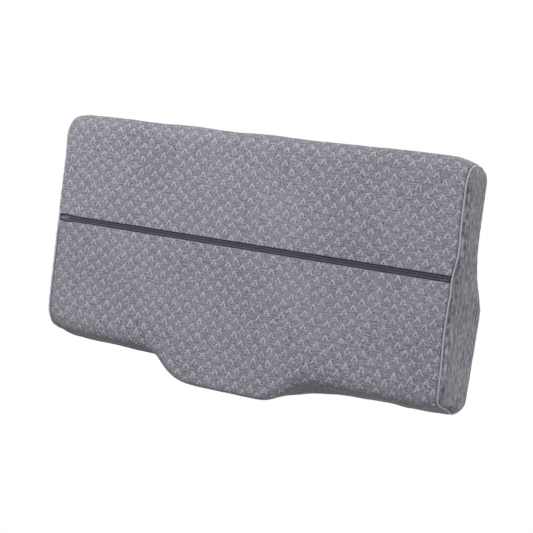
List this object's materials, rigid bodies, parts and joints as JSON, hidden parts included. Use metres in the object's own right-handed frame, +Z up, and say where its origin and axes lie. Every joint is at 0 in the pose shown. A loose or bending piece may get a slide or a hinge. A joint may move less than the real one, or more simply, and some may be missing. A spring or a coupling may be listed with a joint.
{
  "type": "contoured cervical pillow",
  "caption": "Contoured foam cervical pillow with raised side wings, forward neck tongue and head hollow, in a knit cover with piped end panels and a zip across its flat underside.",
  "frame": {"origin": "on the flat underside, at the centre of the pillow's length and depth", "axes": "+X along the length towards the end where the closed zip's slider parks, +Y from the neck side to the back edge, +Z up from the underside"},
  "size_m": [0.613, 0.3455, 0.1238],
  "materials": {
    "knit_cover": "heather grey knitted jacquard with small light chevrons",
    "knit_end_panel": "heather grey knit, the streaks running up the panel",
    "piping": "pale lilac-grey bias tape over cord",
    "piping_cord": "undyed twisted cotton cord",
    "foam": "moulded open-cell memory foam, matte",
    "liner": "thin white stockinette",
    "thread": "grey polyester sewing thread",
    "zip_tape": "dark slate woven polyester tape",
    "zip_coil": "dark slate nylon monofilament, satin",
    "zip_thread": "dark slate polyester sewing thread",
    "zip_slider": "slate-blue lacquered zinc, slight wear on edges"
  },
  "bodies": {
    "pillow": {"foam_core": "foam", "inner_liner_top": "liner", "inner_liner_bottom": "liner", "inner_liner_seam": "thread", "cover_main_panel": "knit_cover", "cover_end_panel_left": "knit_end_panel", "piping_sleeve_left": "piping", "piping_cord_left": "piping_cord", "end_seam_thread_left": "thread", "cover_end_panel_right": "knit_end_panel", "piping_sleeve_right": "piping", "piping_cord_right": "piping_cord", "end_seam_thread_right": "thread", "zip_tape_front": "zip_tape", "zip_coil_front": "zip_coil", "zip_seam_thread_front": "zip_thread", "zip_tape_back": "zip_tape", "zip_coil_back": "zip_coil", "zip_seam_thread_back": "zip_thread", "zip_top_stops": "zip_coil", "zip_bottom_stop": "zip_coil"},
    "slider": {"zip_slider_body": "zip_slider", "zip_slider_bridge": "zip_slider"},
    "pull_tab": {"zip_pull_tab": "zip_slider"}
  },
  "joints": [
    {"name": "zip_slide", "type": "slide", "parent": "pillow", "child": "slider", "axis": [-1, 0, 0], "range_m": [0, 0.566], "deforming": ["zip_coil_front", "zip_coil_back"]},
    {"name": "pull_tab_swing", "type": "hinge", "parent": "slider", "child": "pull_tab", "pos_m": [0.283, 0.0235, 0.0015], "axis": [0, 1, 0], "range_deg": [0, 175]}
  ]
}
